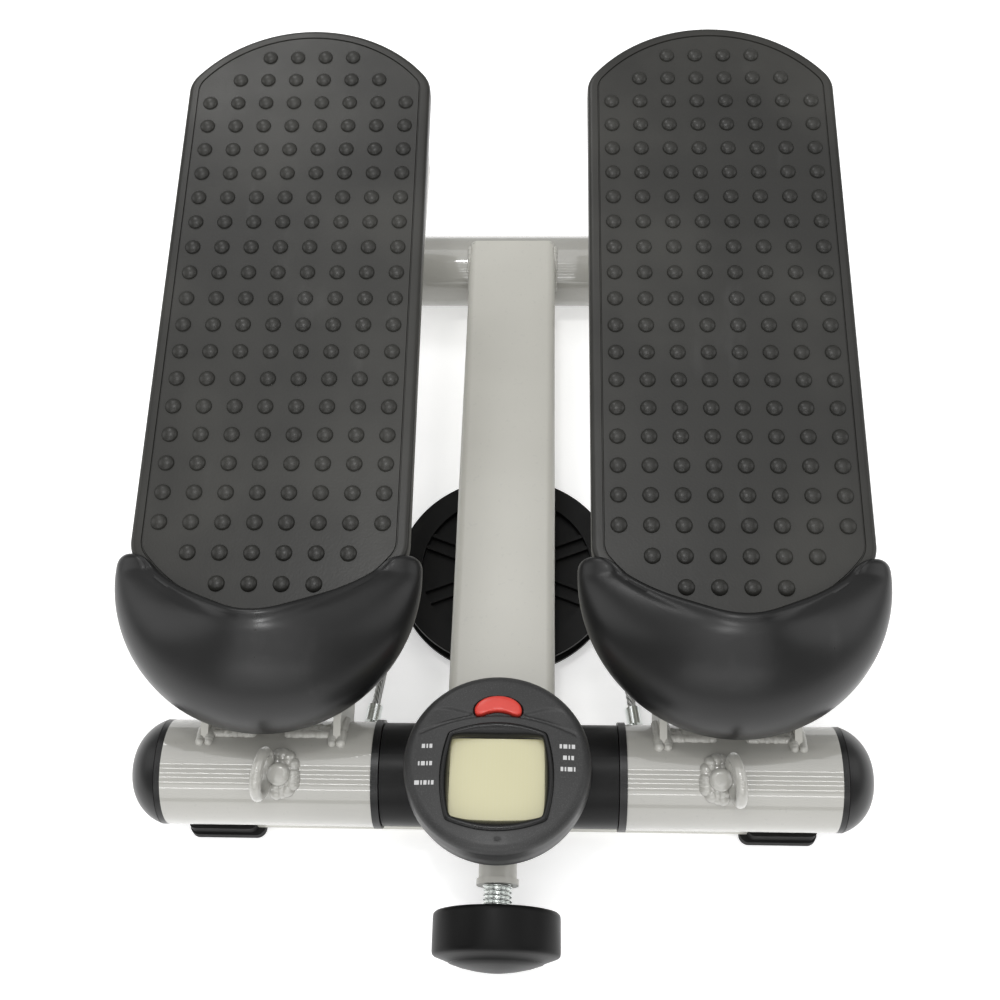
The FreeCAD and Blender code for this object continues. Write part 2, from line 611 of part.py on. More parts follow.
def bean(grow, z0, z1):
    """The reset button's plan: a bowed top and a slightly hollow underside."""
    tip_x, tip_y, crown, dip = 9.2 + grow, 8.6 - 0.4 * grow, 16.3 + grow, 9.6 - grow
    wire = arc_outline([(tip_x, tip_y), (-tip_x, tip_y)], [(0, crown), (0, dip)], z0)
    solid = Part.Face(wire).extrude(V(0, 0, z1 - z0))
    return rounded(solid, 1.4, lambda e: along(e, Z_AXIS))


def make_monitor():
    wall, edge = 2.2, 4.0
    r, low, top = monitor_radius, monitor_split, monitor_top
    centre = V(0, monitor_y, 0)
    crown = 1.4

    lift = edge * (1 - math.sqrt(0.5))
    shell = revolve([(0, low), (r, low), (r, top - edge),
                     ((r - lift, top - lift), (r - edge, top)),
                     ((r * 0.5, top + crown * 0.75), (0, top + crown))],
                    centre, Z_AXIS, X_AXIS)
    shell = shell.cut(bar_z(r - wall, 0, monitor_y, low - 1, top - wall))
    surround = barrel(18.6, 17.0, 2.6, 4.0, 3.5, low, top + 8)
    opening = bean(0.5, low, top + 8)
    back = bar_z(r - 0.6, 0, monitor_y, monitor_floor, low)
    back = rounded(back, 2.5, lambda e: isinstance(e.Curve, Part.Circle)
                   and abs(e.CenterOfMass.z - monitor_floor) < 1e-6)
    back = cut(back, bar_z(r - wall - 0.6, 0, monitor_y, monitor_floor + 2.4, low + 1))
    fixing = [(28 * math.cos(math.radians(a)), monitor_y + 28 * math.sin(math.radians(a)))
              for a in (20, 160, 200, 340)]
    back = cut(back, *[bar_z(1.6, x, y, 0, 60) for x, y in fixing])
    keep("monitor_back", back)
    posts = [cut(bar_z(3.2, x, y, low - 1.8, top - wall + 0.6), bar_z(1.5, x, y, 0, low + 7))
             for x, y in fixing]
    keep("monitor_case", fuse(cut(shell, surround, opening), *posts))
    keep("monitor_screws", *[pan_screw(x, y, monitor_floor, 2.9, 1.45, 1.5, 9.5)
                             for x, y in fixing])

    rim = barrel(18.6, 17.0, 2.6, 4.0, 3.5, top - wall - 1.0, top + crown + 0.7)
    window = box(-18.4, 18.4, screen_y - 16.4, screen_y + 16.4, 0, 80)
    window = rounded(window, 2.5, lambda e: along(e, Z_AXIS))
    keep("screen_surround", rim.cut(window))
    screen_top = top - wall - 1.0
    keep("lcd_screen", box(-19.2, 19.2, screen_y - 17.2, screen_y + 17.2,
                           screen_top - 1.8, screen_top))
    board_top = 33.6
    board = bar_z(21.5, 0, monitor_y, board_top - 1.5, board_top)
    keep("monitor_board", board)
    keep("button_cell", bar_z(7.5, 0, monitor_y - 6, board_top - 1.5 - 4.6, board_top - 1.5))
    button_top = top + crown - 0.2
    button = fuse(bean(0.0, top - 3.5, button_top), bean(1.2, top - 4.6, top - 3.5))
    keep("reset_button", button)

    bracket_half = 10.0
    bracket = box(-bracket_half, bracket_half, -12, 12, 12, monitor_floor)
    keep("monitor_bracket", bracket.cut(bar_x(centre_tube_radius, -60, 60)))


def export_all():
    os.makedirs("parts", exist_ok=True)
    front = NODES["knob"].optimalBoundingBox().YMin
    rear = NODES["left_tread"].optimalBoundingBox().YMax
    to_floor = V(0, -(front + rear) / 2, axle_height)
    for name, shape in sorted(NODES.items()):
        placed = shape.copy()
        placed.translate(to_floor)
        placed.exportStep("parts/" + name + ".step")
    print("nodes", len(NODES), "axle centre at", [round(c, 3) for c in to_floor])


make_spine()
make_rear()
make_front()
make_adjuster()
make_pulley()
make_rope()
make_sleeve()
make_pedal()
make_cylinder()
make_monitor()
export_all()
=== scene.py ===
# %% [markdown]
# # A mini stepper, from bare frame to finish
#
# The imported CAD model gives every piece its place.  This lesson loads it as a fixed frame, swaps
# the pieces whose CAD shape is too plain for detailed meshes, and paints everything with node
# materials. All lengths below are in millimetres about the centre of the front axle, and `at()`
# turns them into the frame's metres.

import math

import bmesh
import bpy
import numpy as np
from mathutils import Matrix, Vector


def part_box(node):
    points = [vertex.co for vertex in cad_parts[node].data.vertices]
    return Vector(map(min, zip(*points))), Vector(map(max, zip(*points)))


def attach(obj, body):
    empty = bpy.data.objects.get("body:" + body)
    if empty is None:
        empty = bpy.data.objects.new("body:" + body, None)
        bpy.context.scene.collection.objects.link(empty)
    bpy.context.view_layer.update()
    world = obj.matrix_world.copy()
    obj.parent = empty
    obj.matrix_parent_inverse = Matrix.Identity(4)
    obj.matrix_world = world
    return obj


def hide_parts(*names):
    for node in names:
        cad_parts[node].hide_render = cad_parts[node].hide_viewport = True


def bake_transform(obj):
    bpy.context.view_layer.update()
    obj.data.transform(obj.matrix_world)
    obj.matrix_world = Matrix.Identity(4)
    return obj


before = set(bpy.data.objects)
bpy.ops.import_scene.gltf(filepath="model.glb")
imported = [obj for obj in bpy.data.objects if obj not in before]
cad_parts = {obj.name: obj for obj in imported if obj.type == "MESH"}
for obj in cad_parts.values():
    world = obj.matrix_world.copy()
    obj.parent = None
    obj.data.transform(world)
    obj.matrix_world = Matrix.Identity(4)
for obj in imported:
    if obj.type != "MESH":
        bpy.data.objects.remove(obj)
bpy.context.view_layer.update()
MM = 0.001
axle_low, axle_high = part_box("left_axle")
AXLE = Vector((0, (axle_low.y + axle_high.y) / 2, (axle_low.z + axle_high.z) / 2))
SIDES = {"left": -1, "right": 1}


def at(x, y, z):
    return AXLE + Vector((x, y, z)) * MM


# %% [markdown]
# ## Camera and light
#
# The stepper stands in even light, as on a page of a catalogue.  One strong lamp would show its
# shape too, but would throw a hard shadow, so wide soft area lamps light it from all sides.  The
# painted tubes show their roundness by thin bright lines, and a fan of narrow strip lamps above
# the knob end draws them.  The camera looks down over the knob end, and is placed by a matrix,
# because its three axes are easier to keep square than three angles.

# %% Camera
LENS_MM, SENSOR_MM = 46.42, 36.0
scene = bpy.context.scene
scene.view_settings.view_transform = "Standard"
across, down = Vector((0.9994, 0.0236, -0.025)), Vector((0.0058, -0.8322, -0.5544))
ahead = across.cross(down).normalized()
down = ahead.cross(across).normalized()
lens = bpy.data.cameras.new("camera")
lens.lens, lens.sensor_width = LENS_MM, SENSOR_MM
lens.clip_start, lens.clip_end = 0.01, 50.0
camera = bpy.data.objects.new("camera", lens)
scene.collection.objects.link(camera)
turn = Matrix((across, -down, -ahead)).transposed().to_4x4()
camera.matrix_world = Matrix.Translation(at(17.34, -201.2, 508.13)) @ turn
scene.camera = camera
print("camera:", LENS_MM, "mm lens at", camera.matrix_world.translation)


# %% Lamps
MIDDLE = (0, 0, 0.05)
FRONT = AXLE + Vector((0, 0, 0.02))
STRIP_RISES, STRIP_AWAY = (31, 44, 55, 64, 74, 84), 1.2


def lamp(name, place, target, width, height, power):
    light = bpy.data.lights.new(name, "AREA")
    light.shape, light.size, light.size_y, light.energy = "RECTANGLE", width, height, power
    holder = bpy.data.objects.new(name, light)
    scene.collection.objects.link(holder)
    aim = (Vector(target) - Vector(place)).to_track_quat("-Z", "Y")
    holder.matrix_world = Matrix.Translation(place) @ aim.to_matrix().to_4x4()


lamp("overhead", (0, 0.35, 1.5), MIDDLE, 1.6, 1.2, 7.0)
lamp("back_key", (-0.45, 0.95, 1.25), MIDDLE, 0.35, 0.35, 3.0)
lamp("dot_key", (-0.08, -0.08, 1.3), MIDDLE, 0.12, 0.12, 2.6)
lamp("front_key", (-0.10, -1.45, 0.62), MIDDLE, 1.5, 0.8, 5.0)
lamp("left_fill", (-1.3, 0.1, 0.8), MIDDLE, 0.9, 0.9, 3.5)
lamp("right_fill", (1.3, 0.1, 0.8), MIDDLE, 0.9, 0.9, 3.5)
for count, rise in enumerate(STRIP_RISES):
    angle = math.radians(rise)
    place = FRONT + Vector((0, -math.cos(angle), math.sin(angle))) * STRIP_AWAY
    lamp(f"strip_{count}", place, FRONT, 1.35, 0.028, 1.1)

# %% World and floor
WORLD_GLOW, FLOOR_GLOW, FLOOR_HALF = 0.44, 0.42, 6
world = bpy.data.worlds.new("studio")
scene.world = world
world.use_nodes = True
world.node_tree.nodes["Background"].inputs["Color"].default_value = (1, 1, 1, 1)
world.node_tree.nodes["Background"].inputs["Strength"].default_value = WORLD_GLOW

floor_mesh = bpy.data.meshes.new("floor")
corners = [(x * FLOOR_HALF, y * FLOOR_HALF, 0) for x, y in ((-1, -1), (1, -1), (1, 1), (-1, 1))]
floor_mesh.from_pydata(corners, [], [(0, 1, 2, 3)])
floor = bpy.data.objects.new("floor", floor_mesh)
scene.collection.objects.link(floor)
print("floor:", 2 * FLOOR_HALF, "m wide")

# %% [markdown]
# ## Shader maths
#
# A finish is a small sum: so much drift, so much grain, less where it is rubbed.  The nodes could
# be added and linked one by one, but the sum would be lost among the links.  So `Value` wraps an
# output socket and overloads + - and *, and node maths reads like ordinary maths.  `Paint` makes
# one material, and its `node()` adds any other node: its type, its settings, then its sockets.


# %% A value on a socket
class Value:
    def __init__(self, paint, socket):
        self.paint, self.socket = paint, socket

    def math(self, operation, other=0.0, flipped=False):
        first, second = (other, self) if flipped else (self, other)
        return self.paint.node("ShaderNodeMath", {"operation": operation}, {0: first, 1: second})

    def __add__(self, other):
        return self.math("ADD", other)

    def __sub__(self, other):
        return self.math("SUBTRACT", other)

    def __rsub__(self, other):
        return self.math("SUBTRACT", other, True)

    def __mul__(self, other):
        return self.math("MULTIPLY", other)

    __radd__, __rmul__ = __add__, __mul__


print("values add, subtract and multiply")


# %% One paint, one material
class Paint:
    def __init__(self, name, **constants):
        self.material = bpy.data.materials.new(name)
        self.material.use_nodes = True
        self.tree = self.material.node_tree
        self.shader = self.tree.nodes["Principled BSDF"]
        for socket, value in constants.items():
            self.shader.inputs[socket.replace("_", " ")].default_value = value
        self.place = self.node("ShaderNodeTexCoord", output="Object")

    def node(self, kind, settings=None, sockets=None, output=0):
        made = self.tree.nodes.new(kind)
        for name, value in (settings or {}).items():
            setattr(made, name, value)
        for name, value in (sockets or {}).items():
            if isinstance(value, Value):
                self.tree.links.new(value.socket, made.inputs[name])
            else:
                made.inputs[name].default_value = value
        return Value(self, made.outputs[output])

    def stretched(self, x, y, z):
        return self.node("ShaderNodeMapping", None, {"Vector": self.place, "Scale": (x, y, z)})

    def noise(self, scale, detail=3.0, where=None):
        return self.node("ShaderNodeTexNoise", None, {"Vector": where or self.place,
                                                      "Scale": scale, "Detail": detail})

    def span(self, value, low, high, to_low=0.0, to_high=1.0):
        return self.node("ShaderNodeMapRange", {"interpolation_type": "SMOOTHSTEP"},
                         {"Value": value, "From Min": low, "From Max": high,
                          "To Min": to_low, "To Max": to_high})

    def mix(self, share, first, second):
        pairs = {0: share, 6: first, 7: second}
        return self.node("ShaderNodeMix", {"data_type": "RGBA"}, pairs, 2)

    def feed(self, name, value):
        self.tree.links.new(value.socket, self.shader.inputs[name])

    def bump(self, height, depth, share=1.0):
        self.feed("Normal", self.node("ShaderNodeBump", None, {
            "Height": height, "Distance": depth * MM, "Strength": share}))


def grey(level, warm=0.0):
    return (level * (1 + 0.3 * warm), level, level * (1 - 1.6 * warm), 1.0)


print("shader classes ready")

# %% [markdown]
# ## The materials
#
# The real stepper has four kinds of surface: powder coat on the steel frame, moulded plastic and
# rubber where hands and feet go, bright plated metal, and the counter's screen.  Pictures could
# be wrapped round them, but they would need unwrapped meshes and would stretch on the tubes. 
# Noise in object space needs neither.  Each kind is one function, with slow colour drift, a
# roughness that wanders with it, and a fine relief: orange peel on the coat, grain on the
# plastic, drawn lines on the metal.


# %% Powder coat
def powder_coat(name, low, high, rough, gloss=0.25, shine=0.5, clear=1.5):
    paint = Paint(name, Coat_Roughness=0.05, Coat_Weight=gloss, Specular_IOR_Level=shine,
                  Coat_IOR=clear)
    drift = paint.noise(22.0)
    specks = paint.span(paint.noise(520.0, 1.0), 0.66, 0.74)
    colour = paint.mix(drift, low, high)
    paint.feed("Base Color", paint.mix(specks * 0.14, colour, grey(low[1] * 0.7)))
    paint.feed("Roughness", rough + (paint.noise(90.0) - 0.5) * 0.16)
    peel = paint.noise(420.0, 2.0) * 0.4 + paint.noise(60.0, 2.0)
    paint.bump(peel, 0.04, 0.4)
    return paint.material


print("coat: drift, specks and peel")


# %% Moulded plastic and rubber
def moulded(name, low, high, rough, grain=900.0, depth=0.05, rubbed=0.0, speckle=0.0, shine=0.3):
    paint = Paint(name, Specular_IOR_Level=shine)
    drift = paint.span(paint.noise(14.0, 5.0), 0.35, 0.68)
    colour = paint.mix(drift, low, high)
    scuffs = paint.span(paint.noise(60.0, 6.0, paint.stretched(1.0, 0.25, 1.0)), 0.60, 0.80)
    colour = paint.mix(scuffs * rubbed, colour, grey(0.10, 0.01))
    flecks = paint.span(paint.noise(2600.0, 2.0), 0.50, 0.75)
    paint.feed("Base Color", paint.mix(flecks * speckle, colour, grey(0.22)))
    paint.feed("Roughness", rough + (paint.noise(40.0, 4.0) - 0.5) * 0.22 - scuffs * 0.08)
    paint.bump(paint.noise(grain, 2.0) + paint.noise(grain * 0.2, 2.0) * 0.4, depth, 0.6)
    return paint.material


print("plastic: drift, scuffs, flecks and grain")


# %% Plated metal
def plated(name, tone, rough, x, y, z, stain=0.25):
    paint = Paint(name, Metallic=1.0)
    lines = paint.noise(1.0, 4.0, paint.stretched(x, y, z))
    cloud = paint.span(paint.noise(45.0, 4.0), 0.42, 0.72)
    paint.feed("Base Color", paint.mix(cloud * stain, tone, grey(tone[1] * 0.6, 0.03)))
    paint.feed("Roughness", rough + (lines - 0.5) * 0.25 + cloud * 0.08)
    paint.bump(lines, 0.04, 0.4)
    return paint.material


print("metal: drawn lines and a cloudy stain")


# %% The screen
def screen_face():
    """Unlit liquid crystal behind a clear sheet: a pale field with the faintest rows of cells."""
    paint = Paint("screen_face", Roughness=0.22, Coat_Weight=0.6, Coat_Roughness=0.05)
    field = paint.mix(paint.noise(30.0, 2.0), (0.43, 0.405, 0.240, 1), (0.47, 0.445, 0.272, 1))
    axes = paint.node("ShaderNodeSeparateXYZ", None, {"Vector": paint.place})
    rows = axes.math("MULTIPLY", 4200.0).math("SINE")
    paint.feed("Base Color", paint.mix(paint.span(rows, 0.2, 1.0) * 0.05, field, grey(0.45, 0.1)))
    return paint.material


print("screen: a pale field with rows")

# %% The paint box
M = {
    "frame": powder_coat("frame_coat", grey(0.44, 0.055), grey(0.50, 0.055), 0.42),
    "sleeve": powder_coat("sleeve_coat", grey(0.30, 0.05), grey(0.34, 0.05), 0.36, 1.0,
                          0.3, 1.62),
    "black_coat": powder_coat("black_coat", grey(0.005), grey(0.009), 0.34, 0.0, 0.13),
    "tread": moulded("tread_rubber", grey(0.017, 0.06), grey(0.029, 0.07), 0.35, 1100, 0.07, 0.14,
                     0.0, 0.26),
    "guard": moulded("guard_plastic", grey(0.004), grey(0.008), 0.34, 1400, 0.025, 0.08, 0.0,
                     0.34),
    "rubber": moulded("foot_rubber", grey(0.008), grey(0.016), 0.62, 800, 0.10, 0.25, 0.0, 0.2),
    "case": moulded("case_plastic", grey(0.022), grey(0.030), 0.42, 1500, 0.05, 0.0, 0.12, 0.25),
    "knob": moulded("knob_plastic", grey(0.004), grey(0.008), 0.38, 1200, 0.03, 0.14, 0.0, 0.08),
    "nylon": moulded("pulley_nylon", grey(0.004), grey(0.007), 0.42, 700, 0.05, 0.15, 0.0, 0.15),
    "cap": moulded("cap_plastic", grey(0.005), grey(0.009), 0.33, 1300, 0.02, 0.12, 0.0, 0.3),
    "bezel": moulded("bezel_plastic", grey(0.004), grey(0.007), 0.28, 1600, 0.01, 0.0, 0.0, 0.25),
    "board": moulded("board", (0.01, 0.10, 0.04, 1), (0.02, 0.14, 0.06, 1), 0.4),
    "print": moulded("printed_marks", grey(0.44), grey(0.52), 0.5, 1500, 0.01),
    "damper": powder_coat("damper_coat", grey(0.010), grey(0.016), 0.25, 0.4),
    "zinc": plated("zinc_plate", (0.74, 0.77, 0.75, 1), 0.22, 60, 900, 900),
    "steel": plated("bare_steel", grey(0.55), 0.26, 900, 900, 120),
    "rope": plated("rope_wire", grey(0.50, 0.01), 0.34, 700, 300, 700, 0.5),
    "chrome": plated("ground_rod", grey(0.72), 0.12, 500, 60, 500, 0.1),
    "brass": plated("turned_bush", (0.62, 0.44, 0.16, 1), 0.3, 80, 80, 900),
    "weld": powder_coat("weld_coat", grey(0.34, 0.05), grey(0.44, 0.05), 0.36, 0.5),
    "screen": screen_face(),
}
print("shared materials:", len(M))

# %% Red button and floor
red = Paint("button_red", Coat_Weight=0.2, Coat_Roughness=0.25, Specular_IOR_Level=0.3)
red.feed("Base Color", red.mix(red.noise(180.0), (0.46, 0.030, 0.020, 1), (0.55, 0.050, 0.035, 1)))
red.feed("Roughness", 0.34 + (red.noise(300.0) - 0.5) * 0.15)
red.bump(red.noise(1200.0), 0.03, 0.4)
M["red"] = red.material
ground = Paint("floor_paper", Roughness=0.9, Emission_Strength=FLOOR_GLOW, Emission_Color=grey(1.0))
ground.feed("Base Color", ground.mix(ground.noise(3.0), grey(0.90), grey(0.93)))
floor.data.materials.append(ground.material)
print("materials:", len(M))

# %% [markdown]
# ## Mesh helpers
#
# Most plastic and steel pieces here change their section slowly along one line.  Boxes and
# cylinders joined by booleans could give them, but leave long thin faces that shade badly.  So
# `loft()` joins a row of closed rings of points into one closed skin, and a lathe is a loft of
# `circle()` rings. Every mesh ends in the frame's metres, with its object at the origin, where
# the patterns expect it.


# %% Finish a mesh
def finish_mesh(name, mesh, matrix, material, sharp=38.0):
    mesh.transform(matrix)
    shape = bmesh.new()
    shape.from_mesh(mesh)
    bmesh.ops.remove_doubles(shape, verts=shape.verts, dist=1e-7)
    bmesh.ops.recalc_face_normals(shape, faces=shape.faces)
    shape.to_mesh(mesh)
    shape.free()
    mesh.shade_smooth()
    mesh.set_sharp_from_angle(angle=math.radians(sharp))
    mesh.materials.clear()
    mesh.materials.append(M[material])
    piece = bpy.data.objects.new(name, mesh)
    scene.collection.objects.link(piece)
    return piece


print("finish: merge, face outwards, smooth, paint")


# %% Skin and loft
def skin(name, rings, start_cap=True, end_cap=True, joined=False):
    """The mesh through closed rings; joined=True closes the last ring onto the first."""
    size = len(rings[0])
    points = [tuple(p) for ring in rings for p in ring]
    faces = []
    last = len(rings) if joined else len(rings) - 1
    for r in range(last):
        a, b = r * size, (r + 1) % len(rings) * size
        faces += [(a + k, a + (k + 1) % size, b + (k + 1) % size, b + k) for k in range(size)]
    for cap, base in ((start_cap, 0), (end_cap, (len(rings) - 1) * size)):
        if cap and not joined:
            middle = np.mean(np.array(points[base:base + size]), axis=0)
            points.append(tuple(middle))
            faces += [(base + k, base + (k + 1) % size, len(points) - 1) for k in range(size)]
    mesh = bpy.data.meshes.new(name)
    mesh.from_pydata(points, [], faces)
    return mesh


def loft(name, rings, matrix, material, sharp=38.0, **caps):
    return finish_mesh(name, skin(name, rings, **caps), matrix, material, sharp)


print("loft: rings in, closed skin out")


# %% Rings and dressing
def circle(radius, height, steps=96):
    """A ring about the local Y axis."""
    turns = [math.tau * k / steps for k in range(steps)]
    return [(radius * math.cos(a), height, radius * math.sin(a)) for a in turns]


def dress(piece, body, material_slot, *nodes):
    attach(piece, body)
    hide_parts(*nodes)
    return piece


print("a full ring has", len(circle(1.0, 0.0)), "points")

# %% Places on the stepper
PEDAL_X, PEDAL_Y, PEDAL_Z, PEDAL_SLOPE = 93.0, 179.4, 93.5, 12
SCREW_Y, SCREW_Z, SCREW_TILT = -64.4, -1.71, 8
IN_FRAME = Matrix.Translation(AXLE) @ Matrix.Scale(MM, 4)
SCREW = (Matrix.Translation(at(0, SCREW_Y, SCREW_Z))
         @ Matrix.Rotation(math.radians(SCREW_TILT), 4, "X") @ Matrix.Scale(MM, 4))
PEDAL = {side: Matrix.Translation(at(sign * PEDAL_X, PEDAL_Y, PEDAL_Z))
         @ Matrix.Rotation(math.radians(PEDAL_SLOPE), 4, "X") @ Matrix.Scale(MM, 4)
         for side, sign in SIDES.items()}
print("pedals slope by", PEDAL_SLOPE, "degrees, the screw by", SCREW_TILT)

# %% [markdown]
# ## Treads
#
# The foot stands on a rubber plate with a rolled edge, one engraved line and a field of low dots
# against slipping.  The plate is a loft of its own outline, drawn in step by step, because the
# edge and the groove are then only a short list of insets and heights.  The dots could be an
# array modifier, but the round ends need some left out.  Geometry Nodes do it with a grid of
# points, thinned at the corners, and a dome on each.

# %% The tread's outline
TREAD_HALF, TREAD_REACH = 56.5, 146.5
END_RADIUS, SHOULDER_RADIUS = 68.0, 15.0


def tread_ring(inset, height, shrink=1.0):
    """Two broad end arcs, joined to the straight sides by small shoulder arcs."""
    side, reach = TREAD_HALF - inset, TREAD_REACH - inset
    broad, small = END_RADIUS - inset, SHOULDER_RADIUS - inset
    centre, shoulder = reach - broad, side - small
    rise = math.sqrt((broad - small) ** 2 - shoulder ** 2)
    lean = math.atan2(rise, shoulder)
    ring = []
    for sign in (1, -1):
        half = [(shoulder + small * math.cos(a), centre + rise + small * math.sin(a))
                for a in np.linspace(0, lean, 9)[:-1]]
        half += [(broad * math.cos(a), centre + broad * math.sin(a))
                 for a in np.linspace(lean, math.pi - lean, 41)]
        half += [(-shoulder + small * math.cos(a), centre + rise + small * math.sin(a))
                 for a in np.linspace(math.pi - lean, math.pi, 9)[1:]]
        ring += [(sign * u * shrink, sign * v * shrink, height) for u, v in half]
    return ring


print("outline:", len(tread_ring(0.0, 0.0)), "points")

# %% Dots by Geometry Nodes
COLUMNS, ROWS = 8, 21


def dots_tree():
    tree = bpy.data.node_groups.new("tread_dots", "GeometryNodeTree")
    face = tree.interface
    face.new_socket("Geometry", in_out="INPUT", socket_type="NodeSocketGeometry")
    for title, value in (("Pitch", 13.0), ("Dot Radius", 3.45), ("Dot Height", 1.9),
                         ("Corner Limit", 151.0)):
        face.new_socket(title, in_out="INPUT", socket_type="NodeSocketFloat").default_value = value
    face.new_socket("Material", in_out="INPUT", socket_type="NodeSocketMaterial")
    face.new_socket("Geometry", in_out="OUTPUT", socket_type="NodeSocketGeometry")

    def add(kind, **settings):
        made = tree.nodes.new(kind)
        for name, value in settings.items():
            setattr(made, name, value)
        return made

    def maths(operation, first, second):
        made = add("ShaderNodeMath", operation=operation)
        for socket, value in zip(made.inputs, (first, second)):
            if isinstance(value, (int, float)):
                socket.default_value = value
            else:
                tree.links.new(value, socket)
        return made.outputs[0]

    entry, leave = add("NodeGroupInput"), add("NodeGroupOutput")
    grid = add("GeometryNodeMeshGrid")
    grid.inputs["Vertices X"].default_value = COLUMNS
    grid.inputs["Vertices Y"].default_value = ROWS
    tree.links.new(maths("MULTIPLY", entry.outputs["Pitch"], COLUMNS - 1), grid.inputs["Size X"])
    tree.links.new(maths("MULTIPLY", entry.outputs["Pitch"], ROWS - 1), grid.inputs["Size Y"])
    place = add("ShaderNodeSeparateXYZ")
    tree.links.new(add("GeometryNodeInputPosition").outputs[0], place.inputs[0])
    spread = maths("ADD", maths("ABSOLUTE", place.outputs[0], 0),
                   maths("ABSOLUTE", place.outputs[1], 0))
    thin = add("GeometryNodeDeleteGeometry", domain="POINT")
    tree.links.new(grid.outputs["Mesh"], thin.inputs["Geometry"])
    tree.links.new(maths("GREATER_THAN", spread, entry.outputs["Corner Limit"]),
                   thin.inputs["Selection"])
    ball = add("GeometryNodeMeshUVSphere")
    ball.inputs["Segments"].default_value = 20
    ball.inputs["Rings"].default_value = 10
    ball.inputs["Radius"].default_value = 1.0
    size = add("ShaderNodeCombineXYZ")
    for axis, title in enumerate(("Dot Radius", "Dot Radius", "Dot Height")):
        tree.links.new(entry.outputs[title], size.inputs[axis])
    spots = add("GeometryNodeInstanceOnPoints")
    tree.links.new(thin.outputs[0], spots.inputs["Points"])
    tree.links.new(ball.outputs["Mesh"], spots.inputs["Instance"])
    tree.links.new(size.outputs[0], spots.inputs["Scale"])
    join, solid, coat = (add("GeometryNodeJoinGeometry"), add("GeometryNodeRealizeInstances"),
                         add("GeometryNodeSetMaterial"))
    tree.links.new(spots.outputs[0], join.inputs[0])
    tree.links.new(entry.outputs["Geometry"], join.inputs[0])
    tree.links.new(join.outputs[0], solid.inputs[0])
    tree.links.new(solid.outputs[0], coat.inputs["Geometry"])
    tree.links.new(entry.outputs["Material"], coat.inputs["Material"])
    tree.links.new(coat.outputs[0], leave.inputs[0])
    return tree


dots = dots_tree()
print("dots tree:", len(dots.nodes), "nodes")


# %% From a node tree to a plain mesh
def grown(base_mesh, tree, values):
    """The plain mesh that a node tree makes from a mesh, with its named inputs set."""
    holder = bpy.data.objects.new("growing", base_mesh)
    scene.collection.objects.link(holder)
    modifier = holder.modifiers.new("grow", "NODES")
    modifier.node_group = tree
    for item in tree.interface.items_tree:
        if item.item_type == "SOCKET" and item.in_out == "INPUT" and item.name in values:
            modifier[item.identifier] = values[item.name]
    bpy.context.view_layer.update()
    graph = bpy.context.evaluated_depsgraph_get()
    mesh = bpy.data.meshes.new_from_object(holder.evaluated_get(graph), depsgraph=graph)
    holder.modifiers.remove(modifier)
    bpy.data.objects.remove(holder)
    return mesh


print("grown: modifier on, mesh out, modifier off")

# %% Tread plates
FIELD_INSET = 13.0   # from here inwards the plate is flat
plate_rings = [(0.6, -8.0), (0.0, -7.4), (0.0, -1.9), (0.25, -1.0), (0.8, -0.35), (1.7, -0.05),
               (2.4, 0.0), (4.5, 0.0), (4.75, -0.6), (5.05, -0.6), (5.3, 0.0),
               (FIELD_INSET, 0.0)]
for side in SIDES:
    rings = [tread_ring(inset, height) for inset, height in plate_rings]
    rings += [tread_ring(FIELD_INSET, 0.0, shrink) for shrink in (0.75, 0.4)]
    plate = grown(skin(side + "_plate", rings), dots, {"Material": M["tread"]})
    piece = finish_mesh(side + "_tread_plate", plate, PEDAL[side], "tread")
    dress(piece, side + "_pedal", "tread_plastic", side + "_tread")
print("tread plates:", len(piece.data.polygons), "faces each")

# %% [markdown]
# ## Toe guards
#
# A moulded plastic guard stops the shoe at the front.  It is a thick shell that follows the toe
# of the plate, high in the middle and low at its two horns.  Sculpting or a subdivided cage could
# give it, but its lip has to follow the plate exactly, so it is swept by a rule.  Each slice
# starts at the lip, swells out and down over the belly and returns along the inside, and the
# horns shrink to round tips.

# %% Where the guard meets the tread
GUARD_MIDDLE, GUARD_RADIUS = -125.0, 62.0   # the middle and size of the guard's outer circle
TOE = [np.array((u, v - GUARD_MIDDLE)) for u, v, _ in tread_ring(0.0, 0.0)]


def tread_reach(turn):
    """Distance from the guard's middle to the tread's outline along one direction."""
    way = np.array((math.sin(turn), -math.cos(turn)))
    for a, b in zip(TOE, TOE[1:] + TOE[:1]):
        over_a, over_b = way[0] * a[1] - way[1] * a[0], way[0] * b[1] - way[1] * b[0]
        if over_a * over_b <= 0 and over_a != over_b:
            hit = a + (b - a) * over_a / (over_a - over_b)
            if hit @ way > 0:
                return math.hypot(*hit)
    return TREAD_REACH + GUARD_MIDDLE


print("the tread reaches", round(tread_reach(math.radians(45)), 2), "mm at 45 degrees")


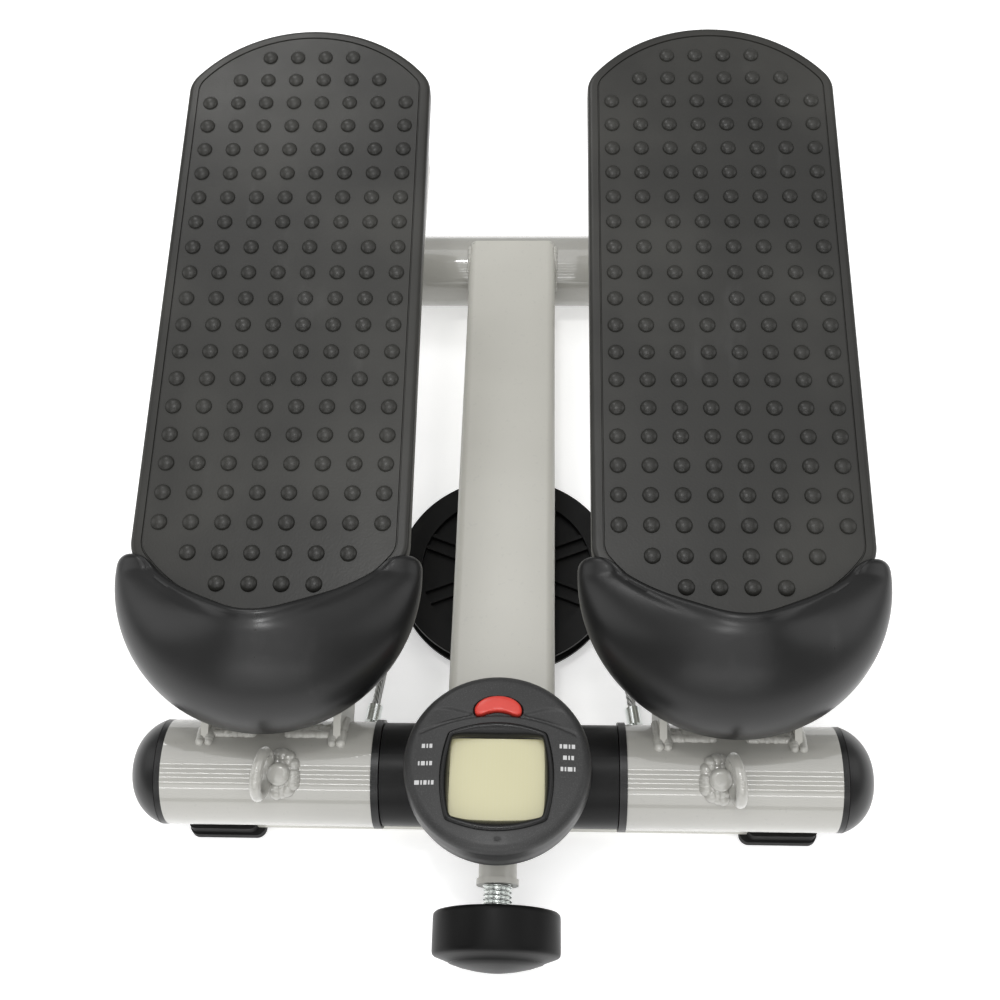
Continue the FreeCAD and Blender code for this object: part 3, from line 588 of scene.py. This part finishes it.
# %% One slice of the guard
def guard_slice(angle, squeeze=0.0):
    """A closed section at an angle round the toe; squeeze shrinks it about its own middle."""
    turn = math.radians(angle)
    level = max(math.cos(turn), 0.0)
    side = tread_reach(turn) + 0.3
    lap = 6.8 * math.sin(min(abs(turn), math.pi / 2)) ** 2.1
    lip, outer = side - lap, GUARD_RADIUS
    top = 3.4 + 20.6 * level ** 0.8
    belly, bottom = -5.0 - 8.0 * level, -10.0 - 17.0 * level
    width = outer - lip
    wall = min(3.0, width * 0.28)

    def arc(shrink, steps, start, end, down_side):
        line = []
        for s in np.linspace(start, end, steps):
            a = math.radians(s)
            if down_side:
                line.append((outer - shrink - 0.45 * width * (1 - math.cos(a)),
                             belly - (belly - bottom - shrink * 0.4) * math.sin(a)))
            else:
                line.append((max(lip + (width - shrink) * math.sin(a), side + 1.0 if shrink else 0),
                             belly + (top - shrink - belly) * math.cos(a)))
        return line

    bold = min(1.0, width / 22)
    roll = 2.2 * bold
    loop = [(lip + roll * (1 - math.cos(t)), top - roll * (1 - math.sin(t)))
            for t in np.linspace(0.1, math.pi / 2, 6)]
    loop += [(lip + 3.4 * bold, top - 0.25 * bold), (lip + 4.5 * bold, top - 0.85 * bold)]
    loop += arc(0, 16, math.degrees(math.asin(6.2 * bold / width)), 90, False)
    loop += arc(0, 10, 9, 90, True)
    loop += arc(wall, 8, 90, 9, True) + arc(wall, 10, 90, 20, False)
    loop += [(side + 0.9, -6.0), (side + 0.9, -9.5), (side, -9.5), (side, 0.3), (lip + 0.6, 0.3)]
    if squeeze:
        mid = np.array(((lip + outer) / 2, -1.0))
        loop = [tuple(mid + (np.array(p) - mid) * (1 - squeeze)) for p in loop]
    return [(radius * math.sin(turn), GUARD_MIDDLE - radius * math.cos(turn), height)
            for radius, height in loop]


print("a slice has", len(guard_slice(0)), "points")

# %% Toe guards
HORN = 93   # degrees from the toe to the start of each rounded tip
ends = [(HORN + 4.8 * t, 1 - (1 - t ** 2.4) ** (1 / 2.4))
        for t in (0.3, 0.5, 0.65, 0.78, 0.88, 0.95, 0.985, 0.998)]
slices = [guard_slice(-a, s) for a, s in reversed(ends)]
slices += [guard_slice(a) for a in np.linspace(-HORN, HORN, 97)]
slices += [guard_slice(a, s) for a, s in ends]
for side in SIDES:
    piece = loft(side + "_guard", slices, PEDAL[side], "guard", 50.0)
    dress(piece, side + "_pedal", "guard_plastic", side + "_toe_guard")
print("guards:", len(piece.data.polygons), "faces each")

# %% [markdown]
# ## The counter
#
# The counter is a round case with a screen in a bowed black surround, a red bean-shaped button
# and two columns of print.  Pockets cut by booleans would have knife-sharp edges, so the case is
# one skin instead: a flat height field inside a rounded rim.  Its height drops smoothly into the
# screen's pocket, the button's pocket, two shallow shoulders beside the button and one curved
# groove.

# %% The button's outline
MONITOR = Vector((0, -10.0))
SCREEN = Vector((0, -16.5))


def softened(points, rounds):
    """Corner cutting: each round trims every corner to a quarter of its edges."""
    for _ in range(rounds):
        points = [tuple(np.array(a) * w + np.array(b) * (1 - w))
                  for a, b in zip(points, points[1:] + points[:1]) for w in (0.75, 0.25)]
    return points


BEAN = softened([(-9.3, 8.7), (-9.1, 12.0), (-6.2, 14.8), (-2.2, 16.1), (2.2, 16.1), (6.2, 14.8),
                 (9.1, 12.0), (9.3, 8.7), (7.0, 7.9), (2.8, 9.7), (-2.8, 9.7), (-7.0, 7.9)], 3)
print("button outline:", len(BEAN), "points")


# %% Distance to an outline
def outside(x, y, outline):
    """Distance from each point to a closed outline, negative inside it."""
    best, inside = np.full(x.shape, 1e9), np.zeros(x.shape, bool)
    for (ax, ay), (bx, by) in zip(outline, outline[1:] + outline[:1]):
        ex, ey = bx - ax, by - ay
        share = np.clip(((x - ax) * ex + (y - ay) * ey) / (ex * ex + ey * ey + 1e-12), 0, 1)
        best = np.minimum(best, np.hypot(x - ax - share * ex, y - ay - share * ey))
        if abs(ey) > 1e-9:
            inside ^= ((ay > y) != (by > y)) & (x < ex * (y - ay) / ey + ax)
    return np.where(inside, -best, best)


depth = -outside(np.zeros(1), np.full(1, 12.0), BEAN)[0]
print("the button's middle lies", round(float(depth), 1), "mm inside its edge")


# %% The bowed surround and the window
def past_bow(x, y, grow=0.0):
    """How far a point lies outside the bowed rectangle round the screen, whose middle is (0, 0)."""
    wide = np.abs(x) - (21.2 + grow - 2.6 * (y / 17.0) ** 2)
    tall = np.abs(y) - (21.0 + grow - 4.0 * (x / 18.6) ** 2)
    return np.logaddexp(wide * 3.0, tall * 3.0) / 3.0


def bow_ring(angles, grow):
    """The bowed rectangle's own points, found along each ray from the middle."""
    near, far = np.zeros_like(angles), np.full_like(angles, 27.0)
    for _ in range(40):
        half = (near + far) / 2
        inside = past_bow(half * np.cos(angles), half * np.sin(angles), grow) < 0
        near, far = np.where(inside, half, near), np.where(inside, far, half)
    return near * np.cos(angles), SCREEN.y + near * np.sin(angles)


def window_ring(angles, half_x, half_y, power=24.0):
    """A rectangle with small round corners, about the screen's middle."""
    c, s = np.cos(angles), np.sin(angles)
    radius = (np.abs(c / half_x) ** power + np.abs(s / half_y) ** power) ** (-1 / power)
    return radius * c, SCREEN.y + radius * s


top_edge = bow_ring(np.full(1, math.pi / 2), 0.0)[1][0] - SCREEN.y
print("the surround's half height:", round(float(top_edge), 1), "mm")

# %% Height of the case's top
FLAT, POCKET = 32.4, 36.7   # radius of the flat top, and height of the screen's pocket


def step(value, low, high):
    share = np.clip((value - low) / (high - low), 0, 1)
    return share * share * (3 - 2 * share)


def roof(x, y):
    """Height of the case's top face."""
    dy = y - MONITOR.y
    radius = np.hypot(x, dy)
    height = 41.0 + 1.4 * (1 - (np.minimum(radius, FLAT) / FLAT) ** 2)
    height -= 3.4 * (1 - step(outside(x, y, BEAN), 0.25, 0.6))
    arc = 18.2 - 8.8 * (x / 33.0) ** 2
    height -= 0.6 * np.exp(-((dy - arc) / 0.42) ** 2) * step(radius, 4.0, 6.0) * (
        1 - step(radius, FLAT - 0.6, FLAT + 0.8))
    wave = 20.3 + 1.1 * np.cos((np.abs(x) - 21.0) * 0.28)
    shoulder = step(dy - arc, 0.3, 1.2) * (1 - step(dy - wave, -0.35, 0.25))
    shoulder *= step(np.abs(x), 9.6, 11.5) * (1 - step(np.abs(x), 18.0, 29.0))
    height -= 0.8 * shoulder + 0.5 * (1 - step(np.hypot(x - 0.8, dy + 31.0), 0.5, 0.9))
    pocket = 1 - step(past_bow(x, y - SCREEN.y), -0.4, 0.1)
    return height + (POCKET - height) * pocket


beside_screen = roof(np.full(1, 28.0), np.full(1, MONITOR.y))[0]
print("the screen's pocket is", round(float(beside_screen) - POCKET, 1), "mm deep")


# %% Case
def make_case():
    turns, rings = 288, []
    for radius in np.linspace(0.4, FLAT, 112):
        a = np.arange(turns) * math.tau / turns
        x, y = radius * np.cos(a), MONITOR.y + radius * np.sin(a)
        rings.append(list(zip(x, y, roof(x, y))))
    profile = [(FLAT + 4.0 * math.sin(b), 37.0 + 4.0 * math.cos(b))
               for b in np.linspace(0.12, math.pi / 2, 9)]
    profile += [(36.4, 33.0), (36.4, 28.4), (36.0, 27.9), (36.0, 27.2), (34.1, 27.0)]
    profile += [(34.1, 36.0), (31.0, 36.4), (1.0, 36.4)]
    for radius, height in profile:
        rings.append([(radius * math.cos(math.tau * k / turns),
                       MONITOR.y + radius * math.sin(math.tau * k / turns), height)
                      for k in range(turns)])
    return rings


piece = loft("counter_case", make_case(), IN_FRAME, "case", 45.0)
dress(piece, "base", "case_plastic", "monitor_case")
print("case:", len(piece.data.polygons), "faces")

# %% Screen surround
rim = []
angles = np.arange(360) * math.tau / 360
for share, grow, height in ((0, 0.75, 38.4), (0, 0.75, 41.9), (0, 0.45, 42.35), (0, -0.1, 42.6),
                            (0, -0.8, 42.6), (0, -1.3, 42.3), (0.35, -1.3, 41.0),
                            (0.8, -0.8, 39.0), (1, 0.0, 38.25), (1, -0.35, 37.85)):
    outer, inner = bow_ring(angles, grow), window_ring(angles, 18.7 + grow, 16.8 + grow)
    rim.append([(ox + (ix - ox) * share, oy + (iy - oy) * share, height)
                for ox, oy, ix, iy in zip(*outer, *inner)])
piece = loft("counter_surround", rim, IN_FRAME, "bezel", 60.0, joined=True)
dress(piece, "base", "bezel_plastic", "screen_surround")
print("surround:", len(piece.data.polygons), "faces")

# %% Button
BEAN_MIDDLE = np.mean(np.array(BEAN), axis=0)
press = [[tuple(BEAN_MIDDLE + (np.array(p) - BEAN_MIDDLE) * share) + (height,) for p in BEAN]
         for share, height in ((1.0, 38.2), (1.0, 42.2), (0.985, 42.55), (0.94, 42.85),
                               (0.86, 43.02), (0.6, 43.15), (0.3, 43.2))]
piece = loft("counter_button", press, IN_FRAME, "red", 50.0)
dress(piece, "button", "red_plastic", "reset_button")
print("button:", len(piece.data.polygons), "faces")


# %% Printed marks
def make_marks():
    """Rows of short printed dashes beside the screen, each row with its own rhythm."""
    points, faces = [], []
    gap, half = 0.55, 0.85
    rows = [(-27.2, 5.2, (1.3, 0.6, 1.1)), (-27.6, -1.9, (0.6, 1.5, 0.6, 1.1)),
            (-27.6, -9.6, (1.8, 0.6, 1.2, 0.6, 1.0)), (27.0, 5.6, (0.9, 1.5, 0.6, 1.3)),
            (27.4, 1.0, (1.5, 0.6, 1.0)), (27.2, -3.6, (1.0, 0.6, 1.8, 0.6))]
    for x, dy, dashes in rows:
        start = x - (sum(dashes) + gap * (len(dashes) - 1)) / 2
        for dash in dashes:
            for level in (-0.05, 0.05):
                corners = ((start, dy - half), (start + dash, dy - half),
                           (start + dash, dy + half), (start, dy + half))
                for px, py in corners:
                    y = MONITOR.y + py
                    points.append((px, y, float(roof(np.array([px]), np.array([y]))[0]) + level))
            b = len(points) - 8
            faces += [(b, b + 3, b + 2, b + 1), (b + 4, b + 5, b + 6, b + 7)]
            faces += [(b + k, b + (k + 1) % 4, b + 4 + (k + 1) % 4, b + 4 + k) for k in range(4)]
            start += dash + gap
    mesh = bpy.data.meshes.new("marks")
    mesh.from_pydata(points, [], faces)
    return finish_mesh("counter_marks", mesh, IN_FRAME, "print")


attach(make_marks(), "base")
print("counter pieces: case, surround, button, marks")

# %% [markdown]
# ## Knob and screw
#
# The knob sets the height of the step, and its plated screw runs into a boss on the middle tube. 
# Both turn about one sloping axis.  The knob is a lathe: a side wall, a ring round its face and a
# dome.  A helix swept along a curve could cut the thread, but it would meet the stem in loose
# faces, so the screw is one loft whose radius rises and falls with height and angle together.

# %% Knob
knob_profile = [(6.05, 9.7), (10.2, 9.7), (11.0, 9.1), (11.2, 8.45), (22.9, 8.2), (24.1, 7.9),
                (24.8, 7.2), (25.0, 6.1), (25.0, 1.0), (25.0, -6.6), (24.8, -7.7), (24.2, -8.3),
                (22.6, -8.9), (20.6, -9.6), (18.9, -10.3), (18.3, -10.8), (17.7, -10.7),
                (17.1, -11.2), (14.0, -12.2), (9.0, -13.3), (4.0, -14.0), (0.6, -14.2)]
piece = loft("knob_turned", [circle(r, h, 160) for r, h in knob_profile], SCREW, "knob", 42.0)
dress(piece, "adjuster", "knob_plastic", "knob")
print("knob:", len(piece.data.polygons), "faces")


# %% Rings of a thread
def thread_rings(start, end, pitch, crest, root, steps=40, per_turn=9):
    rings = []
    for count in range(int((end - start) / pitch * per_turn) + 1):
        height = start + count * pitch / per_turn
        ease = min(1.0, (height - start) / 1.2, (end - height) / 1.2)
        ring = []
        for k in range(steps):
            phase = (height / pitch - k / steps) % 1.0
            groove = min(1.0, max(0.0, 1.35 - abs(phase - 0.5) * 3.4)) * max(ease, 0.0)
            radius = crest - (crest - root) * groove - 0.25 * (1 - max(ease, 0.0))
            ring.append((radius * math.cos(math.tau * k / steps), height,
                         radius * math.sin(math.tau * k / steps)))
        rings.append(ring)
    return rings


print("one turn of thread:", len(thread_rings(0.0, 1.75, 1.75, 6.0, 5.0)) - 1, "rings")

# %% Threaded screw
PITCH = 1.75
stem = [circle(6.0, -1.9, 40), circle(6.0, 8.3, 40)] + thread_rings(8.4, 60.0, PITCH, 5.98, 5.0)
stem += [circle(4.0, 60.34, 40), circle(4.0, 68.7, 40), circle(3.5, 69.2, 40)]
piece = loft("screw_threaded", stem, SCREW, "zinc", 60.0)
dress(piece, "adjuster", "zinc_steel", "adjuster_screw")
print("screw:", len(piece.data.polygons), "faces")

# %% [markdown]
# ## Steel rope
#
# A steel rope joins the pedals: it leaves one lug, turns round the pulley and ends at the other
# lug. A smooth tube with a bump map would look flat from close by, so six wires wind round a core
# along the rope's run.  The stretch round the pulley rides on the carriage, and each straight
# stretch is a fixed piece of its own, from its pedal's lug to the pulley.

# %% The rope's route
ROPE_Z, WRAP, PULLEY_Y, EYE = -19.5, 48.0, 108.8, (59.2, 22.0)
spread = math.atan2(EYE[0], PULLEY_Y - EYE[1])
lean = spread - math.asin(WRAP / math.hypot(EYE[0], PULLEY_Y - EYE[1]))
TANGENT = Vector((WRAP * math.cos(lean), PULLEY_Y + WRAP * math.sin(lean), ROPE_Z))
EYE_POINT = Vector((*EYE, ROPE_Z))
STRAIGHT = (TANGENT - EYE_POINT).normalized()
JOIN = 14.0   # how far before the pulley the straight stretch hands over
print("each straight run:", round((TANGENT - EYE_POINT).length, 1), "mm")


# %% Wires round a line
def wires(name, line, start_length):
    """Tubes wound round a line of evenly spaced points."""
    lay, helix, wire = 16.0, 1.28, 0.68
    line = [Vector(p) for p in line]
    length, groups = start_length, [[] for _ in range(7)]
    for index, point in enumerate(line):
        after, before = line[min(index + 1, len(line) - 1)], line[max(index - 1, 0)]
        way = (after - before).normalized()
        side = way.cross(Vector((0, 0, 1))).normalized()
        up = side.cross(way)
        if index:
            length += (point - line[index - 1]).length
        for strand in range(7):
            angle = math.tau * (length / lay + strand / 6)
            reach = helix if strand < 6 else 0.0
            middle = point + (side * math.cos(angle) + up * math.sin(angle)) * reach
            groups[strand].append([tuple(middle + (side * math.cos(t) + up * math.sin(t)) * wire)
                                   for t in np.arange(6) * math.tau / 6])
    points, faces = [], []
    for rings in groups:
        base = len(points)
        points += [p for ring in rings for p in ring]
        for r in range(len(rings) - 1):
            a = base + r * 6
            faces += [(a + k, a + (k + 1) % 6, a + 6 + (k + 1) % 6, a + 6 + k) for k in range(6)]
        faces += [tuple(range(base, base + 6)), tuple(range(len(points) - 6, len(points)))]
    mesh = bpy.data.meshes.new(name)
    mesh.from_pydata(points, [], faces)
    return finish_mesh(name, mesh, IN_FRAME, "rope", 70.0)


print("wires: six round one core")


# %% Rope pieces
def run(start, end, spacing=1.3):
    steps = max(2, int((end - start).length / spacing))
    return [start.lerp(end, k / steps) for k in range(steps + 1)]


round_pulley = [Vector((WRAP * math.cos(a), PULLEY_Y + WRAP * math.sin(a), ROPE_Z))
                for a in np.linspace(lean, math.pi - lean, 124)]
first = run(TANGENT - STRAIGHT * JOIN, TANGENT)[:-1]
last = [Vector((-p.x, p.y, p.z)) for p in reversed(first)]
piece = wires("rope_round_pulley", first + round_pulley + last, 0.0)
dress(piece, "carriage", "rope_steel", "steel_rope")
for side, sign in SIDES.items():
    line = run(EYE_POINT + STRAIGHT * 12.6, TANGENT - STRAIGHT * (JOIN - 0.2))
    line = [Vector((sign * p.x, p.y, p.z)) for p in line]
    piece = wires(side + "_rope_run", line, 3.0)
    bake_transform(piece)
print("rope pieces: 3")

# %% [markdown]
# ## Weld beads
#
# The frame is welded by hand and then painted, so each joint carries a row of overlapping drops. 
# A bevelled curve would be too even.  Geometry Nodes resample the joint's line and drop a
# slightly different ball on each point, with a fixed seed.


# %% The weld tree
def weld_tree():
    tree = bpy.data.node_groups.new("weld_bead", "GeometryNodeTree")
    face = tree.interface
    face.new_socket("Geometry", in_out="INPUT", socket_type="NodeSocketGeometry")
    for title, value in (("Spacing", 1.6), ("Drop Radius", 1.7), ("Uneven", 0.25)):
        face.new_socket(title, in_out="INPUT", socket_type="NodeSocketFloat").default_value = value
    face.new_socket("Seed", in_out="INPUT", socket_type="NodeSocketInt").default_value = 4
    face.new_socket("Material", in_out="INPUT", socket_type="NodeSocketMaterial")
    face.new_socket("Geometry", in_out="OUTPUT", socket_type="NodeSocketGeometry")
    nodes = {}
    for key, kind in (("entry", "NodeGroupInput"), ("leave", "NodeGroupOutput"),
                      ("curve", "GeometryNodeMeshToCurve"), ("even", "GeometryNodeResampleCurve"),
                      ("ball", "GeometryNodeMeshIcoSphere"),
                      ("drops", "GeometryNodeInstanceOnPoints"),
                      ("chance", "FunctionNodeRandomValue"), ("low", "ShaderNodeMath"),
                      ("high", "ShaderNodeMath"), ("solid", "GeometryNodeRealizeInstances"),
                      ("coat", "GeometryNodeSetMaterial")):
        nodes[key] = tree.nodes.new(kind)
    nodes["even"].mode = "LENGTH"
    nodes["ball"].inputs["Subdivisions"].default_value = 2
    nodes["low"].operation, nodes["high"].operation = "SUBTRACT", "ADD"
    nodes["low"].inputs[0].default_value = nodes["high"].inputs[0].default_value = 1.0
    for start, out, end, into in (
            ("entry", "Geometry", "curve", "Mesh"), ("curve", "Curve", "even", "Curve"),
            ("entry", "Spacing", "even", "Length"), ("even", "Curve", "drops", "Points"),
            ("entry", "Drop Radius", "ball", "Radius"), ("ball", "Mesh", "drops", "Instance"),
            ("entry", "Uneven", "low", 1), ("entry", "Uneven", "high", 1),
            ("low", 0, "chance", 2), ("high", 0, "chance", 3), ("entry", "Seed", "chance", "Seed"),
            ("chance", 1, "drops", "Scale"), ("drops", "Instances", "solid", "Geometry"),
            ("solid", "Geometry", "coat", "Geometry"), ("entry", "Material", "coat", "Material"),
            ("coat", "Geometry", "leave", "Geometry")):
        tree.links.new(nodes[start].outputs[out], nodes[end].inputs[into])
    return tree


WELD = weld_tree()
print("weld tree:", len(WELD.nodes), "nodes")


# %% A bead along lines
def bead(name, lines, body, material="weld", radius=1.7, spacing=1.6, seed=4,
         uneven=0.12):
    points, edges = [], []
    for line in lines:
        edges += [(len(points) + k, len(points) + k + 1) for k in range(len(line) - 1)]
        points += [tuple(p) for p in line]
    path = bpy.data.meshes.new(name + "_path")
    path.from_pydata(points, edges, [])
    mesh = grown(path, WELD, {"Spacing": spacing, "Drop Radius": radius, "Uneven": uneven,
                              "Seed": seed, "Material": M[material]})
    piece = finish_mesh(name, mesh, IN_FRAME, material, 60.0)
    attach(piece, body)
    return piece


print("bead: a path in, a row of drops out")


# %% Points round a tube
def on_tube(x, radius, start, end, y=0.0, z=0.0, steps=14):
    return [(x, y + radius * math.cos(math.radians(a)), z + radius * math.sin(math.radians(a)))
            for a in np.linspace(start, end, steps)]


print("a quarter round a tube:", len(on_tube(0, 1.0, 0, 90)), "points")

# %% Welds on the frame
REAR_BAR, REAR_RADIUS = (293, -8.5), 19.0   # Y and Z of the crossbar's middle
rear = [[(x, 294.0, 11.0) for x in (-20, -7, 7, 20)]]
for x in (-22.6, 22.6):
    rear.append(on_tube(x, REAR_RADIUS, 165, 95, *REAR_BAR))
bead("rear_weld", rear, "base", radius=1.3, spacing=0.9, seed=7)
bead("front_weld", [[(x, 17.4, 12.4) for x in (-20, 0, 20)]], "base")
print("frame beads: 2")

# %% Welds on both sides
SLEEVE_RADIUS = 21.4
for side, sign in SIDES.items():
    lines = [on_tube(sign * x, SLEEVE_RADIUS, 78, 32) for x in (64.2, 67.8, 118.2, 121.8)]
    for start, end in ((66.0, 86.0), (101.0, 120.0)):
        lines += [[(sign * x, y, z) for x in np.linspace(start, end, 12)]
                  for _, y, z in on_tube(0, 21.2, 66, 54, steps=3)]
    bead(side + "_arm_weld", lines, side + "_pedal", radius=2.0, spacing=1.1, seed=3)
    lines = [on_tube(sign * x, 21.5, -38, -12) for x in (53.8, 64.6)]
    bead(side + "_lug_weld", lines, side + "_pedal", radius=1.3, spacing=0.9)
    lines = [on_tube(sign * x, REAR_RADIUS, 128, 80, *REAR_BAR) for x in (78.2, 107.8)]
    bead(side + "_bracket_weld", lines, "base", spacing=1.1, seed=9)
    lumps = [on_tube(sign * x, 20.6, 113 - half, 113 + half)
             for x, half in ((82.6, 10), (84.6, 17), (86.8, 20), (89.0, 21))]
    bead(side + "_eyelet_weld", lumps, side + "_pedal", "sleeve", 2.9, 1.5, 11,
         0.22)

# %% [markdown]
# ## Materials for the CAD pieces that stay
#
# Tubes, pins, rods and pressed plates already have the right shape in the CAD model.  They could
# be copied and bevelled, but a plain edge is what such pieces have, so only their finish changes.

# %% Paint the remaining nodes
finish = {
    "frame": ["spine_tube", "cylinder_brackets", "adjuster_boss", "foot_bar_saddle",
              "monitor_bracket", "front_foot_bar"],
    "black_coat": ["centre_tube"], "sleeve": ["rear_crossbar"],
    "rubber": ["rear_feet", "front_feet"],
    "zinc": ["axle_bolts", "screw_clip", "screw_swivel", "pull_link", "pulley_bolt",
             "cylinder_foot_pins", "monitor_screws"],
    "steel": ["left_axle", "right_axle", "tension_block", "button_cell"],
    "case": ["monitor_back"], "screen": ["lcd_screen"], "board": ["monitor_board"],
    "nylon": ["rope_pulley"], "brass": ["pulley_bush"],
}
for side in SIDES:
    for key, names in (("sleeve", ("sleeve", "band_eyelet", "rope_lug")),
                       ("frame", ("pedal_arm", "tray")), ("cap", ("axle_bushes", "end_cap")),
                       ("zinc", ("rope_end", "pedal_pins", "tread_screws")),
                       ("damper", ("cylinder_tube",)), ("chrome", ("cylinder_rod",))):
        finish.setdefault(key, []).extend(side + "_" + name for name in names)
for key, names in finish.items():
    for name in names:
        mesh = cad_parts[name].data
        mesh.materials.clear()
        mesh.materials.append(M[key])
print("painted:", sum(len(names) for names in finish.values()), "nodes")
